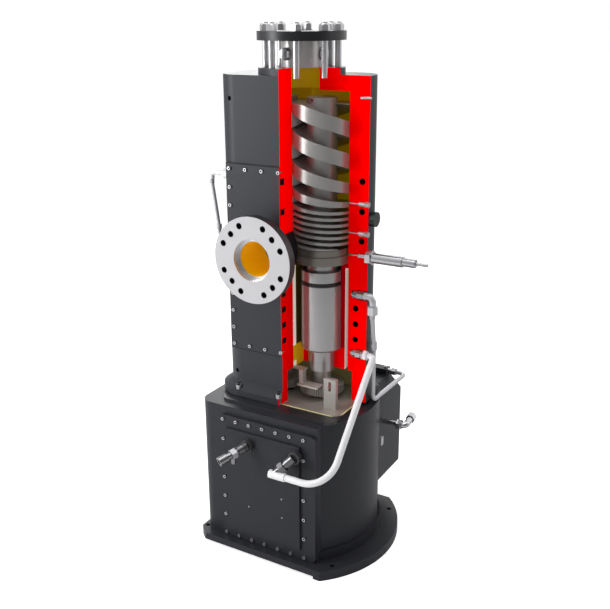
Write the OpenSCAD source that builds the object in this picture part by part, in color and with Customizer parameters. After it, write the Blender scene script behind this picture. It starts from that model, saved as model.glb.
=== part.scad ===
// Vertical twin-screw dry vacuum pump, cut open at the front right quarter
// so that one screw, its shaft unit and the timing gears can be seen.
// Frame: X to the right, Y to the back, Z up, sizes in millimetres.
// The origin is on the axis of the inlet, at the floor.

/* [Screws] */
// Distance from the inlet axis to each rotor axis
rotor_x = 58; // [57:0.5:59]
// Radius of the two pump bores
bore_r = 77; // [75.5:0.5:78]
// Running gap between a screw tip and its bore
tip_gap = 0.5; // [0.3:0.1:0.8]
// Axial gap between the flanks of the two screws
flank_gap = 0.7; // [0.5:0.1:1.2]
// Spacing of the lands at the inlet end
pitch_in = 77.8; // [74:0.2:80]
// Spacing of the lands at the discharge end
pitch_out = 15.75; // [15:0.25:17]
// Turn of the thread at which the spacing starts to shrink
turn_a = 170; // [150:5:200]
// Turn of the thread at which the spacing is constant again
turn_b = 760; // [740:5:780]
// Free height between the screws' lands and the ceiling
screw_room = 30; // [26:1:36]
// Length of the hub above the lands
hub_len = 14; // [8:1:18]
// Radius of the hub
hub_r = 38; // [34:0.5:38.5]

/* [Casing] */
// Half of the casing's width
casing_w2 = 190; // [186:1:196]
// Distance from the rotor plane to the casing's front face
casing_front = 108; // [106:1:112]
// Distance from the rotor plane to the casing's rear face
casing_rear = 98; // [96:1:104]
// Corner radius at the front
front_round = 57; // [50:1:62]
// Corner radius at the rear
rear_round = 80; // [70:1:85]
// Height of the casing above its joint with the base
casing_h = 848; // [840:1:856]
// Thickness of the casing above the screws
ceiling_t = 38; // [34:1:42]
// Radius of the boss that carries the inlet
boss_r = 108; // [106:1:110]
// Height of that boss
boss_h = 16; // [12:1:20]
// How far the foot flange stands out
foot_out = 24; // [20:1:26]
// Thickness of the foot flange
foot_h = 18; // [14:1:22]
// Height of the gear chamber above the joint
chamber_h = 84; // [80:1:88]
// Radius of the coolant channels
channel_r = 8.5; // [7:0.5:9]

/* [Shaft units] */
// Thickness of the end plate's lower and wider step
plate_low = 22; // [18:1:24]
// Thickness of the end plate's upper step
plate_up = 18; // [14:1:20]
// Height of the end plate's underside above the joint
plate_h = 380; // [376:1:384]
// Radius of a bearing cartridge
cart_r = 56.5; // [54:0.5:57]
// Height of a bearing cartridge
cart_h = 180; // [170:1:184]
// Outer radius of the bearing carrier round each cartridge
carrier_r = 69; // [66:1:71]
// Radius of the shafts
shaft_r = 22; // [18:1:24]
// Module of the timing gears
gear_module = 2; // [2:0.5:2]
// Thickness of the timing gears
gear_h = 24; // [20:1:26]

/* [Inlet] */
// Outer radius of the inlet flange
flange_r = 110; // [108:1:114]
// Thickness of the inlet flange
flange_t = 22; // [18:1:26]
// Radius of the bolt circle of both flanges
bolt_circle_r = 90; // [88:1:92]
// Free length of the inlet spool
spool_len = 64; // [56:1:72]
// Bore radius of the inlet spool
spool_bore_r = 46; // [42:1:47]
// Outer radius of the inlet spool
spool_r = 51.5; // [50:0.5:53]
// Radius of the inlet studs
stud_r = 8; // [7:0.5:8.5]

/* [Discharge] */
// Sideways place of the discharge axis
discharge_x = -25; // [-28:1:-22]
// Height of the discharge axis above the joint
discharge_h = 414; // [410:1:418]
// Distance from the rotor plane to the discharge flange's face
discharge_reach = 205; // [198:1:215]
// Thickness of the discharge flange
discharge_t = 24; // [20:1:28]
// Bore radius of the discharge
discharge_bore_r = 44; // [42:1:45]
// Radius of the tapped holes in the discharge flange
tapped_r = 8; // [6.5:0.5:8.5]

/* [Base] */
// Radius of the motor drum
drum_r = 228; // [224:1:232]
// Sideways place of the drum's axis
drum_x = -15; // [-18:1:-12]
// Height of the top of the base housing
base_top = 420; // [410:1:430]
// Thickness of the plate that closes the gear chamber below
gear_plate_t = 7; // [6:1:9]
// Thickness of the gasket on that plate
gasket_t = 1; // [0.5:0.5:1.5]
// Height of the motor's stator
stator_h = 190; // [170:5:200]
// Outer radius of the motor's stator
stator_r = 100; // [94:1:104]
// Distance from the rotor plane to the front of the control box
box_front = 187; // [184:1:192]
// Left end of the control box
box_left = -220; // [-222:1:-216]
// Right end of the control box
box_right = 150; // [146:1:154]
// Radius of the base plate
plate_r = 287; // [284:1:294]
// Top of the base plate
plate_top = 28; // [24:1:32]
// Height of the feet under the base plate
foot_pad_h = 8; // [6:1:12]
// Radius of the holes for floor bolts
floor_hole_r = 6.5; // [5:0.5:7]
// Thickness of the control cover
cover_t = 10; // [8:1:14]

/* [Fasteners] */
// Radius of a small cover screw's shank
screw_r = 2.5; // [2:0.25:3]
// Radius of a small cover screw's head
screw_head_r = 4.5; // [4:0.25:5.5]
// Height of a small cover screw's head
screw_head_h = 4; // [3:0.5:5]

/* [Hidden] */

joint_z = base_top + gear_plate_t + gasket_t;
casing_top = joint_z + casing_h;
ceiling_z = casing_top - ceiling_t;
screw_top = ceiling_z - screw_room;
plate_z = joint_z + plate_h;
discharge_z = joint_z + discharge_h;
e = 0.5;
wide = 400;
slide = 0.05;
clear = 0.4;
root_r = 2*rotor_x - bore_r;
tip_r = bore_r - tip_gap;
z_phase = screw_top - 40;
plate_up_z = plate_z + plate_low + plate_up;
screw_low = plate_up_z + 2;
boss_top = casing_top + boss_h;
flange_z = boss_top + spool_len;
flange_top = flange_z + flange_t;
chamber_z = joint_z + chamber_h;
carrier_z = chamber_z;
carrier_top = plate_z;
cart_top = plate_z - 62;
cart_z = cart_top - cart_h;
tail_r = cart_r - 19;
gear_z = joint_z + 14;
gear_teeth = round(2*rotor_x/gear_module);
gear_tip_r = rotor_x + 0.9*gear_module;
gear_root_r = rotor_x - 1.3*gear_module;

module at_rotors() {
    translate([rotor_x, 0, 0]) children();
    translate([-rotor_x, 0, 0]) children();
}

module at_drive() {
    translate([rotor_x, 0, 0]) children();
}

module at_driven() {
    translate([-rotor_x, 0, 0]) children();
}

// The quarter that is cut away, from z0 up
module cut_quarter(z0 = 0, z1 = 1400) {
    translate([0, -wide, z0]) cube([wide, wide, z1 - z0]);
}

// Rounded rectangle with one radius in front and another behind
module round_box(x0, x1, y0, y1, rf, rr) {
    for (p = [[x0 + rf, y0 + rf, rf], [x1 - rf, y0 + rf, rf],
              [x0 + rr, y1 - rr, rr], [x1 - rr, y1 - rr, rr]])
        translate([p[0], p[1]]) circle(r = p[2], $fn = 64);
    polygon([[x0 + rf, y0], [x1 - rf, y0], [x1, y0 + rf], [x1, y1 - rr],
             [x1 - rr, y1], [x0 + rr, y1], [x0, y1 - rr], [x0, y0 + rf]]);
}

module casing_outline(grow = 0) {
    round_box(-casing_w2 - grow, casing_w2 + grow, -casing_front - grow,
        casing_rear + grow, front_round + grow, rear_round + grow);
}

// Two overlapping circles, one round each rotor axis
module twin(r) {
    translate([rotor_x, 0]) circle(r = r, $fn = 96);
    translate([-rotor_x, 0]) circle(r = r, $fn = 96);
}

module twin_bore(r, z0, z1) {
    at_rotors() translate([0, 0, z0]) cylinder(r = r, h = z1 - z0, $fn = 96);
}

module ring(r_out, r_in, h) {
    difference() {
        cylinder(r = r_out, h = h, $fn = 72);
        translate([0, 0, -1]) cylinder(r = r_in, h = h + 2, $fn = 72);
    }
}

module hex(across, h) {
    cylinder(r = across/sqrt(3), h = h, $fn = 6);
}

// Children turned so that their Z axis points along v
module along(v) {
    n = norm(v);
    rotate([0, acos(v[2]/n), atan2(v[1], v[0])]) children();
}

function unit(v) = v/norm(v);

// Quarter-round or other elbow between the straight runs a-b and b-c
module elbow(a, b, c, bend_r, r) {
    u = unit(a - b);
    v = unit(c - b);
    angle = acos(u*v);
    side = unit(u + v);
    mid = b + side*bend_r/sin(angle/2);
    start = b + u*bend_r/tan(angle/2);
    x = unit(start - mid);
    y = -u;
    z = cross(x, y);
    multmatrix([[x[0], y[0], z[0], mid[0]], [x[1], y[1], z[1], mid[1]],
                [x[2], y[2], z[2], mid[2]], [0, 0, 0, 1]])
        rotate_extrude(angle = 180 - angle, $fn = 96)
            translate([bend_r, 0]) circle(r = r, $fn = 48);
}

// Straight length of tube between two points
module run(a, b, r) {
    translate(a) along(b - a) cylinder(r = r, h = norm(b - a), $fn = 48);
}

// How far a bend of radius bend_r reaches along its two runs
function reach(a, b, c, bend_r) = bend_r/tan(acos(unit(a - b)*unit(c - b))/2);

// Tube through the points p with a bend at each inner point
module tube(p, bend_r, r) {
    n = len(p) - 1;
    cut = [for (i = [0:n]) i == 0 || i == n ? 0 : reach(p[i - 1], p[i], p[i + 1], bend_r)];
    for (i = [0:n - 1]) {
        d = unit(p[i + 1] - p[i]);
        run(p[i] + d*cut[i], p[i + 1] - d*cut[i + 1], r);
    }
    for (i = [1:n - 1]) elbow(p[i - 1], p[i], p[i + 1], bend_r, r);
}

// Small screw with its head outwards along +Z and its shank below
module cover_screw(depth) {
    difference() {
        cylinder(r = screw_head_r, h = screw_head_h, $fn = 32);
        translate([0, 0, screw_head_h - 2]) hex(screw_head_r, 3);
    }
    translate([0, 0, -depth]) cylinder(r = screw_r, h = depth + e, $fn = 24);
}

// Thread turns as a fall in height, from the inlet end on
pitch_mid = (pitch_in + pitch_out)/2;
pitch_swing = (pitch_in - pitch_out)/2;
fall_b = pitch_in*turn_a + pitch_mid*(turn_b - turn_a);
function fall(f) = f < turn_a ? pitch_in*f/180
    : f < turn_b ? (pitch_in*turn_a + pitch_mid*(f - turn_a)
        + pitch_swing*(turn_b - turn_a)/PI*sin(180*(f - turn_a)/(turn_b - turn_a)))/180
    : (fall_b + pitch_out*(f - turn_b))/180;
function thread_z(f) = z_phase - fall(f);

// Each flank is undercut: the second number is the angle that the tip
// corner of the other screw sweeps out of it at that radius
flank = [[root_r - 2.5, 11.3], [0.675*bore_r, 11.3], [0.831*bore_r, 7.9], [tip_r, 0]];
turn_step = 18;
turn_start = -164;
turn_end = turn_b + 180*(thread_z(turn_b) - screw_low)/pitch_out - 43;
stations = round((turn_end - turn_start)/turn_step);
land_low = screw_low + 0.4;
land_top = screw_top - 0.4;
nick = 0.3;

function upper_z(f, p) = max(land_low + nick,
    min(land_top, thread_z(f + p[1]) - flank_gap/2));
function lower_z(f, p) = max(land_low,
    min(land_top - nick, thread_z(f + 90 - p[1]) + flank_gap/2));
function station(f, start) = let(a = f - 5 + start*180) concat(
    [for (i = [0:3]) let(p = flank[i]) [p[0]*cos(a), p[0]*sin(a), upper_z(f, p)]],
    [for (i = [3:-1:0]) let(p = flank[i]) [p[0]*cos(a), p[0]*sin(a), lower_z(f, p)]]);

// One of the two lands of a screw
module land(start) {
    m = 8;
    points = [for (k = [0:stations]) each station(turn_start + k*(turn_end - turn_start)/stations, start)];
    skin = [for (k = [0:stations - 1], j = [0:m - 1], t = [0, 1])
        let(a = k*m + j, b = k*m + (j + 1)%m, c = a + m, d = b + m)
        t == 0 ? [a, d, b] : [a, c, d]];
    ends = [[for (j = [0:m - 1]) j], [for (j = [m - 1:-1:0]) stations*m + j]];
    polyhedron(points, concat(skin, ends), convexity = 12);
}

module screw() {
    land(0);
    land(1);
    translate([0, 0, screw_low]) cylinder(r = root_r, h = screw_top - screw_low, $fn = 60);
    translate([0, 0, screw_top - e]) cylinder(r = hub_r, h = hub_len + e, $fn = 60);
}

module drive_screw() {
    color("silver") at_drive() screw();
}

module driven_screw() {
    color("silver") at_driven() rotate(90) mirror([1, 0, 0]) screw();
}

// Stepped shaft that hangs from the screw's lower face
shaft_head_r = 36;
nut_h = 14;
motor_low = 110;
cavity_low = motor_low - 30;
motor_r = stator_r - 43;
module shaft(low) {
    translate([0, 0, cart_top]) cylinder(r = shaft_head_r, h = screw_low - cart_top, $fn = 60);
    translate([0, 0, gear_z + gear_h]) cylinder(r = shaft_r + 4, h = cart_top - gear_z - gear_h + e, $fn = 60);
    translate([0, 0, low]) cylinder(r = shaft_r, h = gear_z + gear_h - low + e, $fn = 60);
}

module drive_shaft() {
    color("gray") at_drive() shaft(cavity_low - 25);
}

module driven_shaft() {
    color("gray") at_driven() shaft(gear_z - nut_h - 3);
}

// Spur gear: straight-sided teeth on a disc
module timing_gear(phase) {
    tooth = 360/gear_teeth;
    translate([0, 0, gear_z]) difference() {
        linear_extrude(gear_h) polygon([for (i = [0:gear_teeth - 1], k = [0:3])
            let(a = (i + phase)*tooth + [-0.33, -0.13, 0.13, 0.33][k]*tooth,
                r = k == 0 || k == 3 ? gear_root_r : gear_tip_r)
            [r*cos(a), r*sin(a)]]);
        translate([0, 0, -1]) cylinder(r = shaft_r + slide, h = gear_h + 2, $fn = 60);
    }
}

module drive_gear() {
    color("dimgray") at_drive() timing_gear(0.5);
}

module driven_gear() {
    color("dimgray") at_driven() timing_gear(0);
}

module lock_nut() {
    translate([0, 0, gear_z - nut_h]) difference() {
        hex(2*shaft_r + 16, nut_h);
        translate([0, 0, -1]) cylinder(r = shaft_r + slide, h = nut_h + 2, $fn = 60);
    }
}

module drive_lock_nut() {
    color("gray") at_drive() lock_nut();
}

module driven_lock_nut() {
    color("gray") at_driven() lock_nut();
}

// Bearing seats inside a cartridge, as heights above its lower end
seat_h = 26;
seats = [14, 118, 146];
race_r = shaft_r + 4 + slide;
module inner_rings() {
    for (s = seats) translate([0, 0, cart_z + s]) ring(race_r + 5, race_r, seat_h - 4);
}

module drive_inner_rings() {
    color("silver") at_drive() inner_rings();
}

module driven_inner_rings() {
    color("silver") at_driven() inner_rings();
}

module bearing_outer_rings() {
    color("silver") at_rotors() for (s = seats)
        translate([0, 0, cart_z + s]) ring(cart_r - 6, race_r + 5.3, seat_h - 4);
}

tail_h = 62;
module cartridge() {
    translate([0, 0, cart_z]) difference() {
        union() {
            translate([0, 0, 5]) cylinder(r = cart_r, h = cart_h - 5, $fn = 72);
            cylinder(r1 = cart_r - 4, r2 = cart_r, h = 5, $fn = 72);
        }
        translate([0, 0, -1]) cylinder(r = cart_r - 6, h = cart_h + 2, $fn = 72);
    }
    translate([0, 0, cart_z]) ring(cart_r - 5, race_r + 2, seats[0]);
    translate([0, 0, cart_z - tail_h + 1]) ring(tail_r, race_r + 2, tail_h);
}

module drive_cartridge() {
    color("lightgray") at_drive() cartridge();
}

module driven_cartridge() {
    color("lightgray") at_driven() cartridge();
}

seal_z = cart_top + 11;
module seal_housing() {
    translate([0, 0, cart_top]) ring(cart_r - 4, shaft_head_r + 1, 11 + e);
    translate([0, 0, seal_z]) ring(cart_r - 1, shaft_head_r + 1, 27);
    translate([0, 0, seal_z + 27 - e]) ring(cart_r - 14, shaft_head_r + 1, plate_z - seal_z - 27 + e);
}

module drive_seal_housing() {
    color("darkgray") at_drive() seal_housing();
}

module driven_seal_housing() {
    color("darkgray") at_driven() seal_housing();
}

module cartridge_o_rings() {
    color("black") at_rotors() translate([0, 0, cart_top]) ring(cart_r, cart_r - 4 + slide, 10);
}

module end_plate() {
    color("gray") difference() {
        union() {
            translate([0, 0, plate_z]) linear_extrude(plate_low) twin(bore_r - 0.1);
            translate([0, 0, plate_z + plate_low - e]) linear_extrude(plate_up + e) twin(bore_r - 4);
        }
        twin_bore(shaft_head_r + 1, plate_z - 1, plate_up_z + 1);
    }
}

// Web that centres the carrier against the wall between the two bores
web_w = 24;
web_y = 53;
module bearing_carrier() {
    color("darkred") difference() {
        union() {
            translate([0, 0, carrier_z]) linear_extrude(carrier_top - carrier_z) twin(carrier_r);
            translate([0, 0, carrier_top - 14]) linear_extrude(14) twin(bore_r - 0.1);
            translate([-web_w, -web_y, carrier_z + 16]) cube([web_w, 30, 44]);
        }
        twin_bore(cart_r + slide, cart_z, carrier_top + 1);
        twin_bore(tail_r + slide, carrier_z - 1, cart_z + e);
        cut_quarter(carrier_z - 1, carrier_top + 1);
    }
}

// Heights of the coolant channels above and below the discharge
high_channels = [for (h = [594, 518, 442]) joint_z + h];
low_channels = [for (h = [303, 261, 218, 175]) joint_z + h];
cover_x2 = casing_w2 - 30;
cover_z0 = joint_z + 131;
cover_z1 = cover_z0 + 501;
jacket_t = 4;
channel_d = 20;
port_r = discharge_bore_r + 8;
nozzle_heights = [for (h = [537, 461, 404]) joint_z + h];
elbow_heights = [for (h = [299, 136]) joint_z + h];
left_y = -46;
left_drop = 172;
left_r = 5;
knob_y = 20;
knob_z = joint_z + 498;
left_z = joint_z + 590;

// Foot flange: straight strips and turned corners with one profile
module skirt(profile) {
    xf = casing_w2 - front_round;
    yf = casing_front - front_round;
    xr = casing_w2 - rear_round;
    yr = casing_rear - rear_round;
    out = [for (p = profile) [-p[0], p[1]]];
    translate([-xf, -casing_front, 0]) rotate([90, 0, 90]) linear_extrude(2*xf) polygon(out);
    translate([xr, casing_rear, 0]) rotate([90, 0, -90]) linear_extrude(2*xr) polygon(out);
    translate([casing_w2, -yf, 0]) rotate([90, 0, 180]) linear_extrude(yf + yr) polygon(out);
    translate([-casing_w2, yr, 0]) rotate([90, 0, 0]) linear_extrude(yf + yr) polygon(out);
    for (q = [[-xf, -yf, 180, front_round], [xf, -yf, 270, front_round],
              [xr, yr, 0, rear_round], [-xr, yr, 90, rear_round]])
        translate([q[0], q[1], 0]) rotate(q[2])
            rotate_extrude(angle = 90, $fn = 96) translate([q[3], 0]) polygon(profile);
}

// Lower part of the casting, round the gear chamber, and the rest above it
module gear_housing() {
    color([0.29, 0.29, 0.31]) intersection() {
        casting();
        translate([-wide, -wide, 0]) cube([2*wide, 2*wide, chamber_z]);
    }
}

module pump_casing() {
    color([0.29, 0.29, 0.31]) difference() {
        casting();
        translate([-wide, -wide, 0]) cube([2*wide, 2*wide, chamber_z]);
    }
}

module casting() {
    foot_z = joint_z + foot_h;
    difference() {
        union() {
            translate([0, 0, joint_z]) linear_extrude(casing_top - joint_z) casing_outline();
            translate([0, 0, casing_top - 1]) cylinder(r = boss_r, h = boss_h + 1, $fn = 96);
            intersection() {
                skirt([[-12, joint_z], [foot_out, joint_z], [foot_out, foot_z],
                       [0, foot_z + foot_out*0.75], [-12, foot_z + foot_out*0.75]]);
                translate([-wide, -wide, 0]) cube([wide + casing_w2 + 1, 2*wide, casing_top]);
            }
            translate([-cover_x2, -casing_front, cover_z0])
                cube([2*cover_x2, front_round, cover_z1 - cover_z0]);
        }
        twin_bore(bore_r, plate_z - 1, ceiling_z);
        twin_bore(bore_r + 2, chamber_z - 1, plate_z - 14);
        twin_bore(bore_r, plate_z - 15, plate_z);
        translate([0, 0, ceiling_z - e]) cylinder(r = spool_bore_r + 4, h = 100, $fn = 96);
        translate([0, 0, joint_z - 1]) linear_extrude(chamber_h + 1)
            round_box(-150, 150, -84, 84, 20, 20);
        translate([discharge_x, 0, discharge_z]) rotate([90, 0, 0])
            cylinder(r = port_r + slide, h = wide, $fn = 72);
        for (z = high_channels) {
            translate([casing_w2 - 18, 0, z]) rotate([-90, 0, 0]) cylinder(r = channel_r, h = 60, $fn = 32);
            translate([54 - casing_w2, -casing_front - 1, z - channel_r]) cube([2*(casing_w2 - 54), channel_d + 1, 2*channel_r]);
        }
        for (z = low_channels) {
            if (z != low_channels[0]) translate([casing_w2 - 32, 0, z]) rotate([-90, 0, 0]) cylinder(r = channel_r, h = 60, $fn = 32);
            translate([54 - casing_w2, -casing_front - 1, z - channel_r]) cube([2*(casing_w2 - 54), channel_d + 1, 2*channel_r]);
        }
        for (z = nozzle_heights) {
            translate([rotor_x + bore_r - 5, 0, z]) rotate([0, 90, 0]) cylinder(r = 2.2, h = 60, $fn = 24);
            translate([casing_w2 - 26, 0, z]) rotate([0, 90, 0]) cylinder(r = 6.2, h = 60, $fn = 32);
            translate([casing_w2 - 11, 0, z]) rotate([0, 90, 0]) cylinder(r = 7.8, h = 60, $fn = 32);
        }
        for (z = elbow_heights) {
            translate([casing_w2 - 44, 0, z]) rotate([0, 90, 0]) cylinder(r = 10.2, h = 60, $fn = 32);
            translate([casing_w2 - 29, 0, z]) rotate([0, 90, 0]) cylinder(r = 13.6, h = 60, $fn = 32);
        }
        translate([casing_w2 - 26, 0, casing_top - 52]) rotate([0, 90, 0]) cylinder(r = 3.55, h = 60, $fn = 24);
        jacket_screw_places() translate([0, 0, -16]) cylinder(r = screw_r + slide, h = 30, $fn = 24);
        for (p = [[44 - casing_w2, casing_top - 57], [42 - casing_w2, joint_z + 63]])
            translate([p[0], -casing_front - 1, p[1]]) rotate([-90, 0, 0]) cylinder(r = 6, h = 16, $fn = 32);
        stud_places() translate([0, 0, boss_top - 24]) cylinder(r = stud_r + slide, h = 60, $fn = 32);
        foot_bolt_places() translate([0, 0, joint_z - 1]) cylinder(r = 6.6, h = foot_h + 40, $fn = 32);
        foot_bolt_places() translate([0, 0, foot_z]) cylinder(r = 11, h = 40, $fn = 32);
        translate([casing_w2 - 12, knob_y, knob_z]) rotate([0, 90, 0]) cylinder(r = 8, h = 30, $fn = 32);
        translate([-casing_w2 - 1, left_y, left_z]) rotate([0, 90, 0]) cylinder(r = 8.05, h = 16, $fn = 32);
        translate([-casing_w2 - 1, left_y, left_z - left_drop]) rotate([0, 90, 0]) cylinder(r = left_r + slide, h = 14, $fn = 32);
        cut_quarter(joint_z - 1);
    }
}

// Screws of the jacket cover, each with its axis towards -Y
jacket_cols = [for (k = [0:3]) -cover_x2 + 11 + k*(cover_x2 - 13)/3];
jacket_rows = 11;
jacket_z0 = cover_z0 + 14;
jacket_step = (cover_z1 - 14 - jacket_z0)/(jacket_rows - 1);
module jacket_screw_places() {
    for (i = [0:jacket_rows - 1], x = jacket_cols)
        if (i == 0 || i == jacket_rows - 1 || x == jacket_cols[0])
            translate([x, -casing_front - jacket_t, jacket_z0 + i*jacket_step])
                rotate([90, 0, 0]) children();
}

module jacket_cover() {
    color([0.3, 0.3, 0.32]) difference() {
        translate([-cover_x2, -casing_front - jacket_t, cover_z0])
            cube([cover_x2, jacket_t, cover_z1 - cover_z0]);
        jacket_screw_places() translate([0, 0, -9]) cylinder(r = screw_r + slide, h = 12, $fn = 24);
        translate([discharge_x, 0, discharge_z]) rotate([90, 0, 0])
            cylinder(r = port_r + slide, h = wide, $fn = 72);
    }
}

module jacket_cover_screws() {
    color("silver") jacket_screw_places() cover_screw(14);
}

// Cap screws that hold the casing's foot on the base
module foot_bolt_places() {
    for (p = [[-133, -1], [-5, -1], [-100, 1], [0, 1], [100, 1]])
        translate([p[0], p[1] < 0 ? -casing_front - 14 : casing_rear + 12, 0]) children();
}

module foot_bolts() {
    color("silver") foot_bolt_places() {
        translate([0, 0, joint_z + foot_h]) difference() {
            cylinder(r = 9, h = 12, $fn = 40);
            translate([0, 0, 6]) hex(10, 7);
        }
        translate([0, 0, joint_z - 6]) cylinder(r = 6, h = foot_h + 6 + e, $fn = 32);
    }
}

// Inlet
module stud_places() {
    for (k = [0:7]) rotate(22.5 + 45*k) translate([bolt_circle_r, 0, 0]) children();
}

plug_turns = [-103, 12];
module inlet_spool() {
    color("silver") translate([0, 0, boss_top]) difference() {
        cylinder(r = spool_r, h = spool_len, $fn = 96);
        translate([0, 0, -1]) cylinder(r = spool_bore_r, h = spool_len + 2, $fn = 96);
        for (a = plug_turns) rotate(a) translate([spool_bore_r - 4, 0, spool_len/2])
            rotate([0, 90, 0]) cylinder(r = 5, h = 20, $fn = 32);
    }
}

module inlet_flange() {
    color([0.15, 0.15, 0.16]) translate([0, 0, flange_z]) difference() {
        cylinder(r = flange_r, h = flange_t, $fn = 96);
        translate([0, 0, -1]) cylinder(r = spool_bore_r, h = flange_t + 2, $fn = 96);
        stud_places() translate([0, 0, -1]) cylinder(r = stud_r + 0.5, h = flange_t + 2, $fn = 40);
    }
}

module inlet_studs() {
    color("gainsboro") stud_places() translate([0, 0, boss_top - 22])
        cylinder(r = stud_r, h = flange_top + 20 - boss_top + 22, $fn = 40);
}

module inlet_nuts() {
    color("silver") stud_places() translate([0, 0, flange_top]) difference() {
        intersection() {
            hex(24, 17);
            cylinder(r1 = 21, r2 = 11, h = 17, $fn = 48);
        }
        translate([0, 0, -1]) cylinder(r = stud_r + slide, h = 20, $fn = 40);
    }
}

module spool_plugs() {
    color("gray") translate([0, 0, boss_top + spool_len/2]) for (a = plug_turns) rotate(a) {
        translate([spool_bore_r + 1, 0, 0]) rotate([0, 90, 0]) cylinder(r = 5 - slide, h = 8, $fn = 32);
        translate([spool_r, 0, 0]) rotate([0, 90, 0]) hex(26, 13);
    }
}

// Discharge
neck_end = -casing_front - 2;
module discharge_neck() {
    color([0.1, 0.1, 0.1]) difference() {
        translate([discharge_x, -40, discharge_z]) rotate([90, 0, 0])
            cylinder(r = port_r, h = discharge_reach - discharge_t - 40, $fn = 72);
        translate([discharge_x, 0, discharge_z]) rotate([90, 0, 0])
            cylinder(r = discharge_bore_r, h = wide, $fn = 72);
        twin_bore(bore_r + clear, 700, 1000);
    }
}

module discharge_flange() {
    color("gainsboro") translate([discharge_x, -discharge_reach, discharge_z]) rotate([-90, 0, 0]) difference() {
        cylinder(r = flange_r, h = discharge_t, $fn = 96);
        translate([0, 0, -1]) cylinder(r = discharge_bore_r + 9, h = 19, $fn = 72);
        translate([0, 0, 5]) cylinder(r = discharge_bore_r, h = 40, $fn = 72);
        for (k = [0:7]) rotate(22.5 + 45*k) translate([bolt_circle_r, 0, -1])
            cylinder(r = tapped_r, h = 19, $fn = 32);
        for (k = [0:3]) rotate(45 + 90*k) translate([bolt_circle_r - 5, 0, -1])
            cylinder(r = tapped_r, h = 19, $fn = 32);
    }
}

// Fittings on the right side
module purge_nozzles() {
    color("silver") for (z = [nozzle_heights[0], nozzle_heights[1]]) translate([0, 0, z]) {
        translate([rotor_x + bore_r, 0, 0]) rotate([0, 90, 0]) cylinder(r = 2, h = casing_w2 - 23 - rotor_x - bore_r, $fn = 24);
        translate([casing_w2 - 25, 0, 0]) rotate([0, 90, 0]) cylinder(r = 6, h = 20, $fn = 32);
        translate([casing_w2 - 10, 0, 0]) rotate([0, 90, 0]) hex(13, 12);
    }
}

module temperature_probe() {
    color("silver") translate([0, 0, nozzle_heights[2]]) {
        translate([rotor_x + bore_r, 0, 0]) rotate([0, 90, 0]) cylinder(r = 2, h = casing_w2 - 23 - rotor_x - bore_r, $fn = 24);
        translate([casing_w2 - 25, 0, 0]) rotate([0, 90, 0]) cylinder(r = 6, h = 26, $fn = 32);
        translate([casing_w2, 0, 0]) rotate([0, 90, 0]) hex(36, 14);
        translate([casing_w2 + 13, 0, 0]) rotate([0, 90, 0]) cylinder(r = 14, h = 85, $fn = 48);
        translate([casing_w2 + 96, 0, 0]) rotate([0, 90, 0]) cylinder(r = 11, h = 36, $fn = 48);
        translate([casing_w2 + 130, 0, 0]) rotate([0, 90, 0]) cylinder(r = 4, h = 34, $fn = 32);
    }
}

module side_plugs() {
    color([0.12, 0.12, 0.12]) {
        translate([casing_w2 - 12, knob_y, knob_z]) rotate([0, 90, 0]) cylinder(r = 8 - slide, h = 16, $fn = 40);
        translate([casing_w2, knob_y, knob_z]) rotate([0, 90, 0]) cylinder(r = 19, h = 14, $fn = 48);
        translate([casing_w2 - 25, 0, casing_top - 52]) rotate([0, 90, 0]) cylinder(r = 3.5, h = 28, $fn = 24);
    }
}

tube_x = casing_w2 + 17;
upper_z0 = elbow_heights[0];
module upper_elbow() {
    color("silver") {
        translate([casing_w2 - 43.5, 0, upper_z0]) rotate([0, 90, 0]) cylinder(r = 5, h = 6, $fn = 32);
        translate([casing_w2 - 38, 0, upper_z0]) rotate([0, 90, 0]) cylinder(r = 10, h = 36, $fn = 40);
        translate([casing_w2 - 26, 0, upper_z0]) rotate([0, 90, 0]) hex(20, 20);
        tube([[casing_w2 - 6, 0, upper_z0], [tube_x, 0, upper_z0], [tube_x, 0, upper_z0 - 26]], 14, 9);
        translate([tube_x, 0, upper_z0 - 46]) hex(26, 22);
    }
}

rear_y = 228;
rear_z = base_top + 10;
tube_back = 20;
tube_end = 176;
joint_nut_z = upper_z0 - 150;
module rear_tube() {
    color("lightgray") {
        translate([tube_x, 0, upper_z0 - 58.3]) cylinder(r = 7.5, h = 12, $fn = 40);
        run([tube_x, 0, upper_z0 - 54], [tube_x - 4, tube_back, joint_nut_z + 8], 6);
        translate([tube_x - 4, tube_back, joint_nut_z]) cylinder(r = 8.5, h = 22, $fn = 40);
        tube([[tube_x - 4, tube_back, joint_nut_z + 4], [tube_x - 4, tube_back, rear_z],
            [tube_x - 4, rear_y, rear_z], [tube_end + 0.3, rear_y, rear_z]], 16, 6);
    }
}

module rear_fitting() {
    color("silver") translate([lid_x, rear_y, rear_z]) rotate([0, 90, 0]) {
        cylinder(r = 8, h = tube_end - lid_x, $fn = 40);
        translate([0, 0, tube_end - lid_x - 14]) hex(19, 13);
    }
}

lower_z0 = elbow_heights[1];
pipe_x = casing_w2 + 22;
pipe_r = 9;
pipe_y = -box_front - 56;
pipe_z = base_top - 128;
pipe_end = 88;
pipe_drop = norm([pipe_y, lower_z0 - pipe_z]);

// Frame of the leaning pipe: its -Z runs down and to the front
module leaning() {
    translate([pipe_x, 0, lower_z0]) rotate([-atan(-pipe_y/(lower_z0 - pipe_z)), 0, 0]) children();
}

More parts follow.
